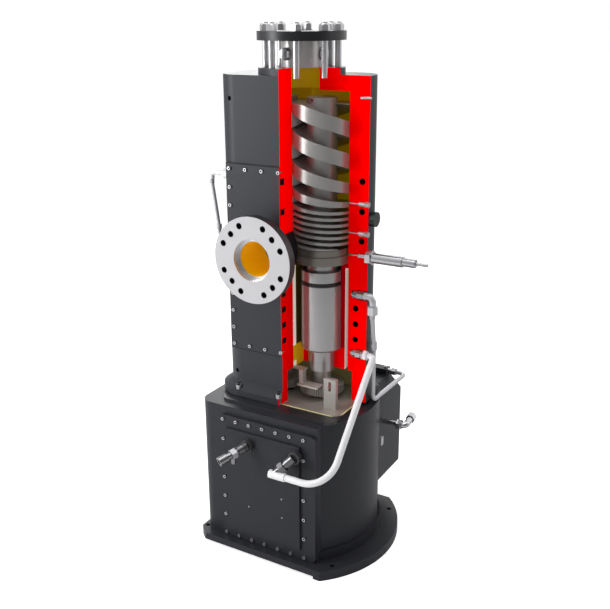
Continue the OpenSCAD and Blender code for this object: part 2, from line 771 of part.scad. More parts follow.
module lower_elbow() {
    color("silver") {
        translate([casing_w2 - 43.5, 0, lower_z0]) rotate([0, 90, 0]) cylinder(r = 6, h = 6, $fn = 32);
        translate([casing_w2 - 38, 0, lower_z0]) rotate([0, 90, 0]) cylinder(r = 10, h = 34, $fn = 40);
        translate([casing_w2 - 28, 0, lower_z0]) rotate([0, 90, 0]) hex(20, 14);
        translate([casing_w2 - 10, 0, lower_z0]) rotate([0, 90, 0]) hex(23, 14);
        leaning() tube([[casing_w2 - pipe_x, 0, 0], [0, 0, 0], [0, 0, -24]], 9, 8.5);
    }
}

module front_coolant_pipe() {
    color("whitesmoke") leaning()
        tube([[0, 0, -24.3], [0, 0, -pipe_drop], [pipe_end - pipe_x, 0, -pipe_drop]], 75, pipe_r);
}

// Hose fittings of the control cover: collar, cone, nut and an end piece
hose_y = -box_front - cover_t - 6;
module hose_fitting(p, stand, dir, len, open) {
    translate(p) {
        rotate([90, 0, 0]) cylinder(r = 17, h = stand + 2, $fn = 48);
        translate([0, -stand, 0]) along(dir) difference() {
            union() {
                cylinder(r1 = 14, r2 = 12.5, h = 26, $fn = 48);
                translate([0, 0, 25]) cylinder(r = 10, h = len - 26, $fn = 40);
                translate([0, 0, 32]) hex(27, 15);
                if (open) translate([0, 0, len - 24]) cylinder(r = 12.5, h = 24, $fn = 48);
            }
            if (open) translate([0, 0, len - 20]) cylinder(r = 8.5, h = 30, $fn = 40);
        }
    }
}

module left_hose_fitting() {
    color("silver") {
        hose_fitting([-51, hose_y, base_top - 88], 10, [-0.47, -0.84, -0.29], 84, true);
        translate([-70, hose_y - 43, base_top - 128]) cylinder(r = 6, h = 26, $fn = 32);
    }
}

// The right one ends in the elbow of the front pipe
elbow_x = 52;
hose_base = [98, hose_y, base_top - 82];
hose_stand = 14;
module right_hose_fitting() {
    lean = [elbow_x, pipe_y, pipe_z] - hose_base + [0, hose_stand, 0];
    color("silver") {
        hose_fitting(hose_base, hose_stand, lean, norm(lean) + 1, false);
        translate([elbow_x - 11, pipe_y, pipe_z]) rotate([0, 90, 0])
            cylinder(r = 11.2, h = pipe_end - elbow_x + 10.7, $fn = 40);
    }
}

left_reach = 64;
left_foot = 46;
module left_elbow() {
    color("silver") translate([-casing_w2, left_y, left_z]) {
        translate([-24, 0, 0]) rotate([0, 90, 0]) hex(24, 23);
        translate([-10, 0, 0]) rotate([0, 90, 0]) cylinder(r = 8, h = 22, $fn = 40);
        tube([[-22, 0, 0], [-left_reach, 0, 0], [-left_reach, 0, -18]], 10, 7.5);
    }
}

module left_tube() {
    color("lightgray") translate([-casing_w2, left_y, left_z]) {
        translate([-left_reach, 0, -30]) cylinder(r = 6.5, h = 11.7, $fn = 40);
        run([-left_reach, 0, -26], [-left_foot, 0, -144], left_r);
        translate([-left_foot, 0, -154]) cylinder(r = 7.5, h = 16, $fn = 40);
        tube([[-left_foot, 0, -150], [-left_foot, 0, -left_drop], [10, 0, -left_drop]], 14, left_r);
    }
}

// Base: a disc with straight edges in front, behind and on the left
module base_outline(r, x0, y0) {
    intersection() {
        translate([drum_x, -8]) circle(r = r, $fn = 120);
        polygon([[x0, y0 + 28], [x0 + 31, y0], [wide, y0], [wide, 209], [x0, 209]]);
    }
}

plate_left = -224;
plate_front = -222;
floor_holes = [[-211, -187], [192, -180], [200, 150], [-206, 168]];
module base_plate() {
    color([0.16, 0.16, 0.17]) difference() {
        linear_extrude(plate_top) base_outline(plate_r, plate_left, plate_front);
        translate([0, 0, -1]) linear_extrude(foot_pad_h + 1) intersection() {
            translate([drum_x, -8]) circle(r = plate_r - 24, $fn = 120);
            translate([plate_left + 20, -180]) square([600, 365]);
        }
        translate([plate_left + 20, plate_front - 1, -1]) cube([360, 60, foot_pad_h + 1]);
        for (p = floor_holes) translate([p[0], p[1], -1]) cylinder(r = floor_hole_r, h = 60, $fn = 40);
    }
}

box_round = 35;
module box_outline() {
    translate([box_left + box_round, -box_front + box_round]) circle(r = box_round, $fn = 64);
    polygon([[box_left, -box_front + box_round], [box_left + box_round, -box_front],
             [box_right, -box_front], [box_right, 60], [box_left, 60]]);
}

// Drum in front of and beside which nothing reaches past the box
module drum(r) {
    intersection() {
        translate([drum_x, -8]) circle(r = r, $fn = 120);
        translate([box_left, -box_front + 2]) square([700, 600]);
    }
}

module base_housing() {
    color([0.17, 0.17, 0.18]) difference() {
        union() {
            translate([0, 0, plate_top]) linear_extrude(base_top - plate_top) drum(drum_r);
            translate([0, 0, plate_top]) linear_extrude(26) drum(drum_r + 8);
            translate([0, 0, plate_top]) linear_extrude(base_top - plate_top) box_outline();
        }
        translate([rotor_x, 0, cavity_low]) cylinder(r = stator_r, h = stator_h + 60, $fn = 96);
        translate([rotor_x, 0, cavity_low + 50]) cylinder(r = shaft_r + 14, h = base_top, $fn = 60);
        translate([rotor_x, 0, cavity_low - 30]) cylinder(r = shaft_r + slide, h = 40, $fn = 60);
        control_screw_places() translate([0, 0, -18]) cylinder(r = screw_r + slide, h = 30, $fn = 24);
        at_driven() translate([0, 0, base_top - 20]) cylinder(r = shaft_r + 14, h = 40, $fn = 60);
        foot_bolt_places() translate([0, 0, base_top - 30]) cylinder(r = 6.6, h = 40, $fn = 32);
    }
}

module motor_stator() {
    color("peru") translate([rotor_x, 0, motor_low]) ring(stator_r - slide, motor_r + 1, stator_h);
}

module motor_rotor() {
    color("gray") translate([rotor_x, 0, motor_low + 5]) ring(motor_r, shaft_r + slide, stator_h - 10);
}

panel_x0 = -147;
panel_x1 = box_right - 1;
panel_z1 = base_top - 22;
control_cols = 7;
control_rows = 7;
control_x0 = panel_x0 + 11;
control_z0 = plate_top + 9;
control_dx = (panel_x1 - 33 - control_x0)/(control_cols - 1);
control_dz = (panel_z1 - 12 - control_z0)/(control_rows - 1);
module control_screw_places() {
    for (i = [0:control_cols - 1], j = [0:control_rows - 1])
        if (i == 0 || j == 0 || i == control_cols - 1 || j == control_rows - 1)
            translate([control_x0 + i*control_dx, -box_front - cover_t, control_z0 + j*control_dz])
                rotate([90, 0, 0]) children();
}

module control_cover() {
    color([0.2, 0.2, 0.21]) difference() {
        union() {
            translate([0, -box_front, 0]) rotate([90, 0, 0]) linear_extrude(cover_t)
                round_box(panel_x0, panel_x1, plate_top + 1, panel_z1, 12, 12);
            translate([control_x0 + 11, -box_front - cover_t - 6, control_z0 + 22])
                cube([6*control_dx - 22, 7, 6*control_dz - 44]);
        }
        control_screw_places() translate([0, 0, -12]) cylinder(r = screw_r + slide, h = 20, $fn = 24);
    }
}

module control_cover_screws() {
    color("silver") control_screw_places() cover_screw(18);
}

box_fit_z = base_top - 98;
module drive_box() {
    color([0.2, 0.2, 0.21]) difference() {
        translate([0, 235, 0]) rotate([90, 0, 0]) linear_extrude(150)
            polygon([[-188, 150], [-134, 74], [134, 74], [188, 150], [188, base_top - 35], [153, base_top],
                     [-153, base_top], [-188, base_top - 35]]);
        translate([drum_x, -8, 20]) cylinder(r = drum_r + 0.02, h = 500, $fn = 120);
        translate([180, 126, box_fit_z]) rotate([0, 90, 0]) cylinder(r = 8 + slide, h = 20, $fn = 32);
    }
}

lid_screw_xs = [-140, -84, -28, 28, 84, 140];
lid_x = 150;
lid_t = 18;
lid_y = 214;
lid_w = 28;
module drive_box_lid() {
    color([0.22, 0.22, 0.23]) difference() {
        translate([-lid_x, lid_y, base_top]) cube([2*lid_x, lid_w, lid_t]);
        for (x = lid_screw_xs)
            translate([x, lid_y + lid_w/2, base_top - 1]) cylinder(r = screw_r + slide, h = 30, $fn = 24);
    }
}

module drive_box_screws() {
    color("silver") for (x = lid_screw_xs)
        translate([x, lid_y + lid_w/2, base_top + lid_t]) cover_screw(lid_t);
}

module gear_case() {
    color([0.45, 0.44, 0.42]) difference() {
        union() {
            translate([0, 0, base_top]) linear_extrude(gear_plate_t)
                round_box(-172, 176, -160, 130, 30, 30);
        }
        at_rotors() translate([0, 0, base_top - 1]) cylinder(r = 36, h = 60, $fn = 72);
        foot_bolt_places() translate([0, 0, base_top - 1]) cylinder(r = 6.6, h = 60, $fn = 32);
    }
}

module gear_case_gasket() {
    color("khaki") translate([0, 0, joint_z - gasket_t]) linear_extrude(gasket_t) difference() {
        round_box(-170, 172, -118, 110, 30, 30);
        round_box(-152, 152, -86, 86, 20, 20);
        foot_bolt_places() circle(r = 6.6, $fn = 32);
    }
}

module sensor_bracket() {
    foot_z = gear_z + gear_h + 4;
    color("gainsboro") {
        translate([22, -72, foot_z]) cube([62, 32, 4]);
        translate([22, -62, foot_z]) cube([12, 18, chamber_z - foot_z]);
        translate([-20, -52, chamber_z - 5]) cube([54, 16, 5]);
    }
}

module oil_guard() {
    color("gray") difference() {
        translate([108, -80, joint_z - gasket_t]) cube([36, 12, chamber_h + gasket_t]);
        translate([122, -90, joint_z + 50]) cube([8, 30, 26]);
    }
}

module box_fitting() {
    color("silver") translate([254, 126, box_fit_z]) {
        translate([-73, 0, 0]) rotate([0, 90, 0]) cylinder(r = 8, h = 54, $fn = 40);
        translate([-24, 0, 0]) rotate([0, 90, 0]) hex(26, 12);
        rotate([13, 0, 0]) {
            tube([[-14, 0, 0], [0, 0, 0], [0, 34, 0]], 10, 9);
            translate([0, 33, 0]) rotate([-90, 0, 0]) hex(24, 16);
        }
    }
}

base_plate();
base_housing();
control_cover();
control_cover_screws();
drive_box();
drive_box_lid();
drive_box_screws();
gear_case();
gear_case_gasket();
motor_stator();
motor_rotor();
gear_housing();
pump_casing();
jacket_cover();
jacket_cover_screws();
foot_bolts();
end_plate();
bearing_carrier();
drive_cartridge();
driven_cartridge();
drive_seal_housing();
driven_seal_housing();
cartridge_o_rings();
bearing_outer_rings();
drive_screw();
driven_screw();
drive_shaft();
driven_shaft();
drive_gear();
driven_gear();
drive_lock_nut();
driven_lock_nut();
drive_inner_rings();
driven_inner_rings();
sensor_bracket();
oil_guard();
inlet_spool();
inlet_flange();
inlet_studs();
inlet_nuts();
spool_plugs();
discharge_neck();
discharge_flange();
purge_nozzles();
temperature_probe();
side_plugs();
upper_elbow();
rear_tube();
lower_elbow();
front_coolant_pipe();
left_hose_fitting();
right_hose_fitting();
left_elbow();
left_tube();
box_fitting();
rear_fitting();
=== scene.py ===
# %% [markdown]
# # A cut-open dry vacuum pump, dressed in Blender
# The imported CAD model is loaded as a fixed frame. It already holds every piece at its real size,
# so this lesson is about surfaces, light and the few shapes that deserve a finer mesh: the two
# screws, the fasteners and a welded lug. Lengths of the machine are written in millimetres, as on
# its drawing, and divided by 1000 where Blender takes them. Named inputs of the trees, lamps and
# the camera are in metres.

# %% Load the frame
import bpy
import bmesh
import math
import numpy as np
from mathutils import Matrix, Vector


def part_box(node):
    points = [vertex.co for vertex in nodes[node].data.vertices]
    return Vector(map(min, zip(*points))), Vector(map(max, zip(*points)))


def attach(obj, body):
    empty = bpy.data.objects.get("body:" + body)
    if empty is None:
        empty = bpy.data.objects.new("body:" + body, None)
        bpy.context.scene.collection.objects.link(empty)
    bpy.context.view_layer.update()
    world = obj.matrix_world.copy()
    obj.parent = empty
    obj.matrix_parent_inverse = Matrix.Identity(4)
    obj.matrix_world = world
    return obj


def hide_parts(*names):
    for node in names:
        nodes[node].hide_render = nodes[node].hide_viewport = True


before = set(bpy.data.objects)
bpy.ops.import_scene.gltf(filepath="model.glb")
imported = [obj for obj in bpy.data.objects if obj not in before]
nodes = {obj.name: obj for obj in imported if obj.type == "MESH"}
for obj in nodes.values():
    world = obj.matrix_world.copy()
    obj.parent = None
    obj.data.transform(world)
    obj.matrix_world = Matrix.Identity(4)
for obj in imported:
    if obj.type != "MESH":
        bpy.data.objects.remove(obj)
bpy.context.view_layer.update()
print("pieces in the frame:", len(nodes))

# %% [markdown]
# Colours are read off as sRGB hex values, the way a paint chart gives them. Blender's shaders
# work with linear light, so one function turns the one into the other. A second small function
# adds a shader or geometry node, sets its values and makes its links, which keeps the trees short.

# %% Two small helpers
def linear(hex_code, alpha=1.0):
    parts = [int(hex_code[i:i + 2], 16) / 255 for i in (1, 3, 5)]
    out = [p / 12.92 if p <= 0.04045 else ((p + 0.055) / 1.055) ** 2.4 for p in parts]
    return (*out, alpha)


def add(tree, kind, settings=None, links=None):
    node = tree.nodes.new(kind)
    for key, value in (settings or {}).items():
        if isinstance(key, int) or key in node.inputs:
            node.inputs[key].default_value = value
        else:
            setattr(node, key, value)
    for key, socket in (links or {}).items():
        tree.links.new(socket, node.inputs[key])
    return node


print("casing grey in linear light:", [round(c, 3) for c in linear("#303136")[:3]])

# %% [markdown]
# Most finishes here are one idea: a base colour that drifts a little over a few centimetres, a
# roughness that drifts with it, and a fine grain that only shows as a bump. The grain's size is a
# real one in millimetres. Stretching the grain along one axis turns cast skin into brushed or
# turned metal, because the tool that made the surface moved that way.

# %% A finish with grain
drift_size = 60
rough_swing = 0.06


def finish(name, colour, rough, metallic=0.0, grain=1.0, depth=0.02, drift=0.08,
           stretch=(1, 1, 1), coat=0.0, shine=0.5):
    mat = bpy.data.materials.new(name)
    mat.use_nodes = True
    tree = mat.node_tree
    shader = tree.nodes["Principled BSDF"]
    where = add(tree, "ShaderNodeTexCoord")
    mapping = add(tree, "ShaderNodeMapping", {"Scale": stretch},
                  {"Vector": where.outputs["Object"]})
    fine = add(tree, "ShaderNodeTexNoise", {"Scale": 1000 / grain, "Detail": 2.0},
               {"Vector": mapping.outputs["Vector"]})
    broad = add(tree, "ShaderNodeTexNoise", {"Scale": 1000 / drift_size, "Detail": 2.0},
                {"Vector": where.outputs["Object"]})
    base = linear(colour)
    mix = add(tree, "ShaderNodeMix",
              {"data_type": "RGBA", 6: (*[c * (1 - drift) for c in base[:3]], 1.0),
               7: (*[min(1.0, c * (1 + drift)) for c in base[:3]], 1.0)},
              {0: broad.outputs["Fac"]})
    spread = add(tree, "ShaderNodeMapRange",
                 {"To Min": rough - rough_swing, "To Max": rough + rough_swing},
                 {"Value": fine.outputs["Fac"]})
    bump = add(tree, "ShaderNodeBump", {"Strength": 0.6, "Distance": depth / 1000},
               {"Height": fine.outputs["Fac"]})
    tree.links.new(mix.outputs[2], shader.inputs["Base Color"])
    tree.links.new(spread.outputs["Result"], shader.inputs["Roughness"])
    tree.links.new(bump.outputs["Normal"], shader.inputs["Normal"])
    shader.inputs["Metallic"].default_value = metallic
    shader.inputs["Coat Weight"].default_value = coat
    shader.inputs["Specular IOR Level"].default_value = shine
    return mat


print("the grain moves the roughness by", rough_swing, "either way")

# %% [markdown]
# Most pieces wear one plain finish. The base is powder coated, the small parts are plated or
# blackened, and the rotors are left as the lathe and the grinder leave them. Bare steel is written
# as partly metallic: a fully metallic surface would be a mirror for the painted section beside it.

# %% Finishes of coated and bare metal
# Powder coat is baked plastic dust: even, slightly pebbled, with a soft sheen.
powder_coat = finish("powder_coat_black", "#28292e", 0.4, grain=1.6, depth=0.03, drift=0.06,
                     shine=0.22)
# Oil-blackened steel keeps its edges sharp and its sheen low.
blackened_steel = finish("blackened_steel", "#1b1c1f", 0.38, metallic=0.3, grain=1.2, depth=0.02)
# Turned steel shows fine rings round the axis, so its grain is long in X and Y and short in Z.
turned_steel = finish("turned_steel", "#979694", 0.33, metallic=0.5, grain=1.2, depth=0.014,
                      drift=0.08, stretch=(0.05, 0.05, 1))
ground_steel = finish("ground_steel", "#a4a3a3", 0.22, metallic=0.6, grain=0.5, depth=0.002,
                      drift=0.03, stretch=(0.04, 0.04, 1))
milled_steel = finish("milled_steel", "#bdbab3", 0.42, metallic=0.35, grain=1.5, depth=0.01,
                      drift=0.08)
scraped_iron = finish("scraped_iron", "#7d7871", 0.36, metallic=0.7, grain=1.2, depth=0.01)
# Case-hardened gear steel comes out of the quench a shade darker.
hardened_steel = finish("hardened_steel", "#a5a19b", 0.38, metallic=0.4, grain=1.5, depth=0.01,
                        drift=0.08)
# Zinc plating is bright but a little cloudy.
zinc_plate = finish("zinc_plate", "#bdbdbf", 0.3, metallic=0.85, grain=0.8, depth=0.01, drift=0.1)
# Chromed brass mirrors its surroundings.
chrome_plate = finish("chrome_plate", "#b5b5b8", 0.16, metallic=0.95, grain=3, depth=0.002,
                      drift=0.04)
# Brushed aluminium for the spool: the brush went round it.
brushed_aluminium = finish("brushed_aluminium", "#b4b2b1", 0.34, metallic=0.6, grain=1.0,
                           depth=0.01, drift=0.04, stretch=(0.05, 0.05, 1))

print("metal finishes:", len(bpy.data.materials))

# %% [markdown]
# Pipes, seals and windings are not bare metal, but the same function makes them: enamel is smooth
# with a coat over it, rubber is nearly black and dull, and the varnished copper of the motor has a
# grain that runs along its wires.

# %% Finishes of pipes, seals and windings
# The coolant pipe is enamelled white over steel; the thin tubes are plain drawn tube.
white_enamel = finish("white_enamel", "#e9e9eb", 0.3, grain=2, depth=0.01, drift=0.03, coat=0.3)
drawn_tube = finish("drawn_tube", "#b9b9bd", 0.34, metallic=0.45, grain=0.6, depth=0.001,
                    drift=0.04)
nitrile_and_recess_shade = finish("nitrile_rubber", "#0c0c0d", 0.5, grain=0.6, depth=0.01, drift=0.1)
copper_wire = finish("enamelled_copper", "#a4592c", 0.35, metallic=0.8, grain=1.1, depth=0.05,
                     stretch=(1, 1, 0.2))
print("plain finishes:", len(bpy.data.materials))

# %% [markdown]
# The casing is one casting, but it shows four finishes: dark enamel outside, signal red on the
# two cut faces, yellow lacquer in the pump chamber and a dull oiled skin in the gear chamber. A
# cut model is painted that way so that the section reads at a glance. Each finish is picked by
# place: the cut faces lie on the planes x = 0 and y = 0, and the bores are cylinders round known
# axes. So the shader first works out, for each point, its coordinates, how far it is from the
# middle planes, and how far it is from the axes of the rotors, the inlet and the outlet.

# %% Where a point lies
rotor_x, bore_r = 58.0, 77.0
outlet_x, outlet_z = -25, 842


def place_fields(tree, where):
    x, y, z = add(tree, "ShaderNodeSeparateXYZ", None, {"Vector": where}).outputs
    wide = add(tree, "ShaderNodeMath", {"operation": "ABSOLUTE"}, {0: x}).outputs[0]
    deep = add(tree, "ShaderNodeMath", {"operation": "ABSOLUTE"}, {0: y}).outputs[0]
    off_rotor, off_outlet, off_height = (
        add(tree, "ShaderNodeMath", {"operation": "SUBTRACT", 1: axis / 1000}, {0: v}).outputs[0]
        for v, axis in ((wide, rotor_x), (x, outlet_x), (z, outlet_z)))
    fields = {"x": x, "y": y, "z": z, "wide": wide, "deep": deep}
    for label, across, up in (("rotor", off_rotor, y), ("inlet", x, y),
                              ("outlet", off_outlet, off_height)):
        flat = add(tree, "ShaderNodeCombineXYZ", None, {"X": across, "Y": up})
        fields[label] = add(tree, "ShaderNodeVectorMath", {"operation": "LENGTH"},
                            {0: flat.outputs[0]}).outputs["Value"]
    return fields


print("rotor axes at x =", -rotor_x, "and", rotor_x, "mm")

# %% [markdown]
# A rule is a colour, a metallic value, a roughness, a glow and a list of comparisons, in
# millimetres, that must all hold; later rules win. The glow is painted light: an emission in the
# paint's own colour that makes a surface brighter than the lamps light it. What is the same on
# the whole piece is set on the shader itself, and only what changes from place to place goes
# through nodes.

# %% Paint by place
enamel_grain, enamel_depth = 1.4, 0.03
patches_per_metre, enamel_drift, gloss_swing = 18.0, 0.06, 0.05
dead_flat = 0.85


def by_place(name, skin, rough, rules, metallic=0.0, shine=0.5):
    mat = bpy.data.materials.new(name)
    mat.use_nodes = True
    tree = mat.node_tree
    shader = tree.nodes["Principled BSDF"]
    where = add(tree, "ShaderNodeTexCoord").outputs["Object"]
    fields = place_fields(tree, where)
    broad = add(tree, "ShaderNodeTexNoise", {"Scale": patches_per_metre, "Detail": 2.0},
                {"Vector": where})
    fine = add(tree, "ShaderNodeTexNoise", {"Scale": 1000 / enamel_grain, "Detail": 2.0},
               {"Vector": where})
    base = linear(skin)
    colour = add(tree, "ShaderNodeMix",
                 {"data_type": "RGBA", 6: (*[c * (1 - enamel_drift) for c in base[:3]], 1.0),
                  7: (*[c * (1 + enamel_drift) for c in base[:3]], 1.0)},
                 {0: broad.outputs["Fac"]}).outputs[2]
    gloss = add(tree, "ShaderNodeMapRange",
                {"To Min": rough - gloss_swing, "To Max": rough + gloss_swing},
                {"Value": fine.outputs["Fac"]}).outputs["Result"]
    metal = add(tree, "ShaderNodeValue").outputs[0]
    metal.default_value = metallic
    painted_glow = add(tree, "ShaderNodeValue").outputs[0]
    for paint, its_metal, its_rough, its_painted_glow, tests in rules:
        mask = None
        for field, test, limit in tests:
            passed = add(tree, "ShaderNodeMath", {"operation": test, 1: limit / 1000},
                         {0: fields[field]}).outputs[0]
            mask = passed if mask is None else add(
                tree, "ShaderNodeMath", {"operation": "MULTIPLY"}, {0: mask, 1: passed}).outputs[0]
        colour = add(tree, "ShaderNodeMix", {"data_type": "RGBA", 7: linear(paint)},
                     {0: mask, 6: colour}).outputs[2]
        gloss = add(tree, "ShaderNodeMix", {3: its_rough}, {0: mask, 2: gloss}).outputs[0]
        metal = add(tree, "ShaderNodeMix", {3: its_metal}, {0: mask, 2: metal}).outputs[0]
        painted_glow = add(tree, "ShaderNodeMix", {3: its_painted_glow}, {0: mask, 2: painted_glow}).outputs[0]
    bump = add(tree, "ShaderNodeBump", {"Strength": 0.5, "Distance": enamel_depth / 1000},
               {"Height": fine.outputs["Fac"]})
    links = {"Base Color": colour, "Roughness": gloss, "Normal": bump.outputs["Normal"]}
    shader.inputs["Metallic"].default_value = metallic
    shader.inputs["Specular IOR Level"].default_value = shine
    if any(rule[1] != metallic for rule in rules):
        links["Metallic"] = metal
    # Where a rule has a glow, its paint emits its own colour as painted light.
    if any(rule[3] for rule in rules):
        links["Emission Color"], links["Emission Strength"] = colour, painted_glow
    if any(rule[2] > dead_flat for rule in rules):
        glossy_part = add(tree, "ShaderNodeMath", {"operation": "LESS_THAN", 1: dead_flat},
                          {0: gloss})
        links["Specular IOR Level"] = add(tree, "ShaderNodeMath",
                                          {"operation": "MULTIPLY", 1: shine},
                                          {0: glossy_part.outputs[0]}).outputs[0]
    for socket_name, source in links.items():
        tree.links.new(source, shader.inputs[socket_name])
    return mat


low, high = "LESS_THAN", "GREATER_THAN"
print("fields of a rule: x, y, z, wide, deep, rotor, inlet, outlet")

# %% [markdown]
# The section is sprayed in a dead-flat signal red, so it hardly catches any light of its own. The
# red and the yellow lacquer glow a little in their own colour as painted light, the red more
# above 800 mm on the plane x = 0. A face counts as cut when it lies within 0.4 mm of its plane.
# The pump chamber is everything inside the rotors' bores above the end plate, and the throat of
# the inlet above it. Below the end plate the same bores hold the bearing carrier, and there the
# wall is painted dark red. The coolant channels are painted nearly black, as painted shade inside
# them.

# %% The places on the castings
on_plane, past_corner = 0.4, 0.1
cut_x = [("wide", low, on_plane), ("y", low, past_corner)]
cut_y = [("deep", low, on_plane), ("x", high, -past_corner)]
end_plate_z, chamber_top, throat_r = 790, 1239, 51
chamber = [("rotor", low, bore_r + 1.2), ("z", high, end_plate_z), ("z", low, chamber_top)]
throat = [("inlet", low, throat_r), ("z", high, chamber_top - 3)]
below_plate = [("rotor", low, bore_r + 3), ("z", low, end_plate_z)]
channel_left, channel_right, channel_rear, channel_top = 140, 182, 62, 1100
channel_shade_zone = [("deep", high, on_plane), ("y", high, 0), ("x", high, channel_left),
            ("y", low, channel_rear), ("rotor", high, bore_r + 3), ("x", low, channel_right),
            ("z", low, channel_top)]
gear_half_width, gear_half_depth, gear_top = 150.5, 84.5, 512.5
gear_chamber = [("wide", low, gear_half_width), ("deep", low, gear_half_depth),
                ("z", low, gear_top)]
print("lacquered chamber from", end_plate_z, "to", chamber_top, "mm")

# %% Finishes of the castings
red, lacquer = "#ff0000", "#c79e06"
painted_light_cut_z = 800
# On the casing the section and the lacquer glow as painted light, and the channels are painted near
# black as painted shade.
casing_enamel = by_place("casing_enamel_and_section", "#303136", 0.42, [
    (lacquer, 0, 0.5, 0.12, chamber), (lacquer, 0, 0.5, 0.12, throat),
    ("#8a0508", 0, 0.6, 0, below_plate), ("#0b0b0c", 0, 0.6, 0, channel_shade_zone),
    (red, 0, 0.95, 0.14, cut_x), (red, 0, 0.95, 0.5, [*cut_x, ("z", high, painted_light_cut_z)]),
    (red, 0, 0.95, 0.14, cut_y)], shine=0.22)
# The gear chamber's skin and the section of the gear housing glow a little as painted light.
gear_enamel = by_place("gear_housing_enamel_and_section", "#303136", 0.42, [
    ("#8f8958", 0, 0.5, 0.08, gear_chamber),
    (red, 0, 0.95, 0.14, cut_x), (red, 0, 0.95, 0.14, cut_y)], shine=0.22)
# The upper and lower edge of the cover are painted near black as painted shadow lines, and its cut
# face glows red as painted light.
cover_foot, cover_top = (corner[2] * 1000 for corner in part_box("jacket_cover"))
edge_shadow_band = 2.2
cover_enamel = by_place("cover_enamel_and_section", "#303136", 0.4, [
    ("#0e0e10", 0, 0.5, 0, [("z", high, cover_top - edge_shadow_band)]),
    ("#0e0e10", 0, 0.5, 0, [("z", low, cover_foot + edge_shadow_band)]),
    (red, 0, 0.95, 0.2, [("x", high, -0.4)])], shine=0.22)
# The carrier's section is a darker red beside the bore, painted shade on the red, and ochre in the
# web between the bores; below its foot both are brighter. Its pale outside and its section glow a
# little as painted light.
carrier_bore, carrier_foot = 57.5, 573
carrier_enamel = by_place("carrier_enamel_and_section", "#efe4d6", 0.5, [
    ("#f3eadc", 0, 0.5, 0.3, [("rotor", high, carrier_bore)]),
    ("#3a3526", 0, 0.5, 0, [("rotor", low, carrier_bore)]),
    ("#4d3f08", 0, 0.6, 0.05, cut_x), ("#a8000e", 0, 0.95, 0.1, cut_y),
    ("#d8a605", 0, 0.6, 0.2, [*cut_x, ("z", low, carrier_foot)]),
    ("#f20008", 0, 0.95, 0.14, [*cut_y, ("z", low, carrier_foot)])])
print("finishes with the castings:", len(bpy.data.materials))

# %% [markdown]
# The other pieces with two finishes follow the same way. The outlet's face is sprayed with grey
# primer while its rim keeps the black of the neck. A fitting is plated where it was gripped and
# enamelled or bare where it carries on as a pipe.

# %% Finishes of the outlet, the joint and the fittings
# Behind the face, the ring that holds the bolt holes is painted near black as painted shade, so
# each hole is dark inside.
outlet_face, outlet_bore, socket_r, holes_from, holes_to = -204.9, 45, 54, 60, 100
outlet_finish = by_place("outlet_flange_finishes", "#1d1e21", 0.42, [
    ("#060606", 0, 0.6, 0,
     [("outlet", low, holes_to), ("outlet", high, holes_from), ("y", high, outlet_face)]),
    ("#d2d2d4", 0.75, 0.22, 0, [("outlet", low, socket_r)]),
    ("#d9a406", 0, 0.4, 0.15, [("outlet", low, outlet_bore)]),
    ("#bdbcbf", 0, 0.5, 0, [("y", low, outlet_face)])])
# The yellow lacquer in the outlet's bore and neck glows as painted light.
neck_finish = by_place("outlet_neck_finishes", "#17181a", 0.4, [
    ("#d8a004", 0, 0.4, 0.3, [("outlet", low, outlet_bore)])])
# Only the outer edge of the joint shows its gasket; the rest is the machined face.
gasket, gasket_front, gasket_right = "#d9cf9a", -115, 169
# The gasket and the machined floor of the rim glow faintly as painted light.
joint_face = by_place("joint_face_and_gasket", "#a39e95", 0.42, [
    (gasket, 0, 0.7, 0.1, [("y", low, gasket_front)]),
    (gasket, 0, 0.7, 0.1, [("x", high, gasket_right)])], metallic=0.5)
floor_half_width, floor_half_depth, machined_z, shaft_hole_r = 152, 86, 426.5, 37
rim_finish = by_place("rim_paint_and_machined_floor", "#222327", 0.36, [
    ("#a39e95", 0.4, 0.42, 0.02,
     [("wide", low, floor_half_width), ("deep", low, floor_half_depth), ("z", high, machined_z)]),
    ("#1b1c1f", 0, 0.4, 0, [("rotor", low, shaft_hole_r)])])
elbow_start = 184
elbow_finish = by_place("satin_elbow_and_nuts", "#8d8d90", 0.25, [
    ("#c6c6ca", 0.45, 0.34, 0, [("x", high, elbow_start)])], metallic=0.85)
lower_elbow_finish = by_place("enamelled_elbow_and_nuts", "#a9a9ac", 0.2, [
    ("#e6e6e9", 0, 0.3, 0, [("x", high, elbow_start)])], metallic=0.9)
nut_back, nut_front, pipe_top, right_of_left_hose = -229, -247, 303.3, 20
hose_finish = by_place("hose_fitting_finishes", "#8b8b8e", 0.22, [
    ("#4a4a4c", 0.5, 0.3, 0, [("y", high, nut_back)]),
    ("#6a6a6d", 0.8, 0.25, 0, [("y", high, nut_front), ("y", low, nut_back)]),
    ("#e9e9eb", 0, 0.3, 0, [("z", low, pipe_top), ("x", high, right_of_left_hose)])],
    metallic=0.9)
# The knob sits low on the side and the plug high, so one height parts their finishes.
knob_to_plug = 1100
knob_finish = by_place("moulded_knob_and_plug", "#141517", 0.35, [
    ("#c4c4c6", 0.9, 0.2, 0, [("z", high, knob_to_plug)])])
print("all finishes:", len(bpy.data.materials))

# %% [markdown]
# Every CAD node keeps its own shape unless a later step replaces it, so at this point each one
# only needs its finish. A table of node names is easier to check than many single lines.

